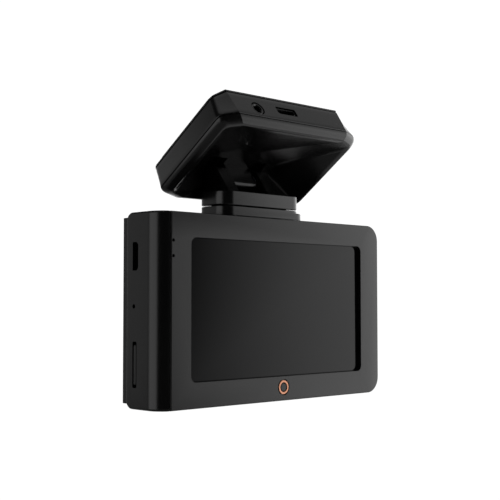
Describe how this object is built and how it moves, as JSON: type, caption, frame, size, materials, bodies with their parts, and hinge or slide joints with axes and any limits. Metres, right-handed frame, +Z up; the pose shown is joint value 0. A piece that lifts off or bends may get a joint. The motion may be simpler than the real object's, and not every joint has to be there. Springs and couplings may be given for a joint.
{
  "type": "dash camera",
  "caption": "Slim wide camera body with a recessed screen, hung by a quick-release dock and a tilting neck from a faceted windshield plate.",
  "frame": {"origin": "centre of the adhesive pad's outer face, where the mount sticks to the windshield", "axes": "+Z up, +Y horizontally through the windshield towards the road, +X to the right of a person who reads the screen"},
  "size_m": [0.0926, 0.0356, 0.0882],
  "materials": {
    "black_plastic": "satin moulded ABS",
    "soft_black_plastic": "fine textured ABS",
    "screen_glass": "dark cover glass",
    "lens_glass": "coated lens glass",
    "steel": "nickel plated steel",
    "aluminium": "satin",
    "panel": "display polariser",
    "ribbon": "polyimide film",
    "circuit_board": "solder mask",
    "chip": "moulded package",
    "battery_wrap": "laminate pouch",
    "card_plastic": "matte",
    "ceramic": "unglazed",
    "contact_gold": "gold flash",
    "copper": "copper plated",
    "adhesive_foam": "acrylic foam tape"
  },
  "bodies": {
    "windshield_mount": {"adhesive_pad": "adhesive_foam", "mount_cover": "black_plastic", "mount_upper_shell": "black_plastic", "mount_lower_shell": "black_plastic", "mount_board": "circuit_board", "gps_antenna": "ceramic", "video_jack": "black_plastic", "power_socket": "black_plastic"},
    "neck": {"neck_block": "black_plastic", "pogo_block": "contact_gold", "hinge_pin": "steel", "friction_washer_left": "steel", "friction_washer_right": "steel"},
    "camera": {"main_shell": "black_plastic", "front_bezel": "black_plastic", "dock_base": "black_plastic", "lens_ring": "black_plastic", "micro_usb_socket": "black_plastic", "lens_fascia": "soft_black_plastic", "lens_holder": "soft_black_plastic", "lens_barrel": "soft_black_plastic", "screen_glass": "screen_glass", "front_lens": "lens_glass", "rear_lens": "lens_glass", "infrared_filter": "lens_glass", "lcd_tray": "steel", "card_socket": "steel", "microphone": "steel", "board_screw_1": "steel", "board_screw_2": "steel", "board_screw_3": "steel", "dock_screw_1": "steel", "dock_screw_2": "steel", "fascia_screw_1": "steel", "fascia_screw_2": "steel", "fascia_screw_3": "steel", "fascia_screw_4": "steel", "heat_spreader": "aluminium", "lcd_panel": "panel", "screen_ribbon": "ribbon", "main_board": "circuit_board", "main_processor": "chip", "memory_chip": "chip", "image_sensor": "chip", "speaker": "chip", "reset_switch": "chip", "power_switch": "chip", "battery": "battery_wrap", "status_light": "ceramic", "dock_contacts": "contact_gold", "badge_ring": "copper"},
    "memory_card": {"memory_card": "card_plastic"},
    "reset_button": {"reset_button": "ceramic"},
    "power_button": {"power_button": "black_plastic"}
  },
  "joints": [
    {"name": "mount_tilt", "type": "hinge", "parent": "windshield_mount", "child": "neck", "pos_m": [0, 0.004, -0.01376], "axis": [1, 0, 0], "range_deg": [-34, 3]},
    {"name": "camera_release", "type": "slide", "parent": "neck", "child": "camera", "axis": [1, 0, 0], "range_m": [0, 0.031]},
    {"name": "card_slide", "type": "slide", "parent": "camera", "child": "memory_card", "axis": [-1, 0, 0], "range_m": [0, 0.015]},
    {"name": "reset_press", "type": "slide", "parent": "camera", "child": "reset_button", "axis": [1, 0, 0], "range_m": [0, 0.00025], "stiffness_N_per_m": 1200},
    {"name": "power_press", "type": "slide", "parent": "camera", "child": "power_button", "axis": [-1, 0, 0], "range_m": [0, 0.0005], "stiffness_N_per_m": 1200}
  ]
}
